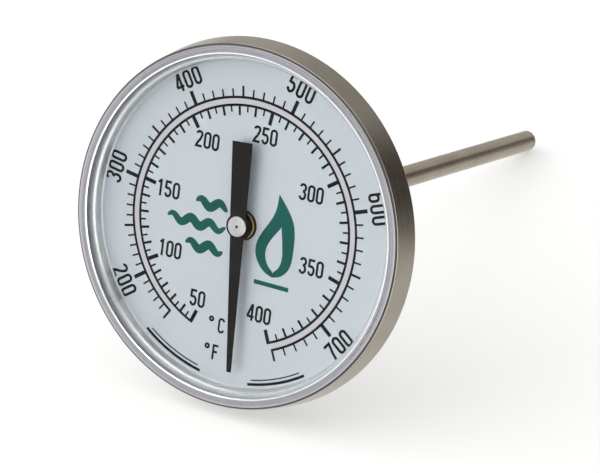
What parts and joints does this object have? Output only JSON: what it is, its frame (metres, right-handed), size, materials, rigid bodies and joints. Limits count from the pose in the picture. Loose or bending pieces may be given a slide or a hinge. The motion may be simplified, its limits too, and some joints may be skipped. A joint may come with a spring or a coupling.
{
  "type": "dial meat thermometer",
  "caption": "Round dial meat thermometer with a stainless head, glass front, dished dial, black pointer and a long straight stem from the middle of its back.",
  "frame": {"origin": "on the stem's axis, in the plane of the flat back of the head", "axes": "+Y along the stem towards its tip, so the dial faces -Y; +Z towards 12 o'clock on the dial; +X to the right of the dial as it is read"},
  "size_m": [0.0762, 0.1356, 0.0762],
  "materials": {
    "bezel": "satin, turned",
    "case": "satin, drawn",
    "glass": "clear flat window glass",
    "seal": "matt black",
    "dial": "matt pale silver with black print",
    "stem": "drawn, slightly dull",
    "turned": "machined",
    "spring": "tempered",
    "brass": "turned",
    "bimetal": "rolled strip",
    "shaft": "drawn wire",
    "pointer_black": "matt black paint",
    "cap": "turned, bright"
  },
  "bodies": {
    "stem": {"stem_tube": "stem", "tip_plug": "stem", "stem_neck": "turned", "calibration_nut": "turned", "seal_washer": "seal", "retaining_clip": "spring", "friction_washer": "spring", "top_bearing": "brass", "upper_guide": "brass", "middle_guide": "brass", "lower_guide": "brass", "bimetal_coil": "bimetal", "coil_anchor": "brass"},
    "head": {"bezel_ring": "bezel", "lens": "glass", "lens_gasket": "seal", "dial_plate": "dial", "case_shell": "case", "case_bushing": "brass"},
    "pointer": {"pointer": "pointer_black", "pointer_cap": "cap", "pointer_collar": "brass", "pointer_shaft": "shaft", "coil_collar": "brass"}
  },
  "joints": [
    {"name": "calibration_turn", "type": "hinge", "parent": "stem", "child": "head", "pos_m": [0, 0, 0], "axis": [0, 1, 0], "continuous": true},
    {"name": "pointer_turn", "type": "hinge", "parent": "stem", "child": "pointer", "pos_m": [0, 0, 0], "axis": [0, 1, 0], "range_deg": [-20, 341], "stiffness_Nm_per_rad": 0.001}
  ]
}
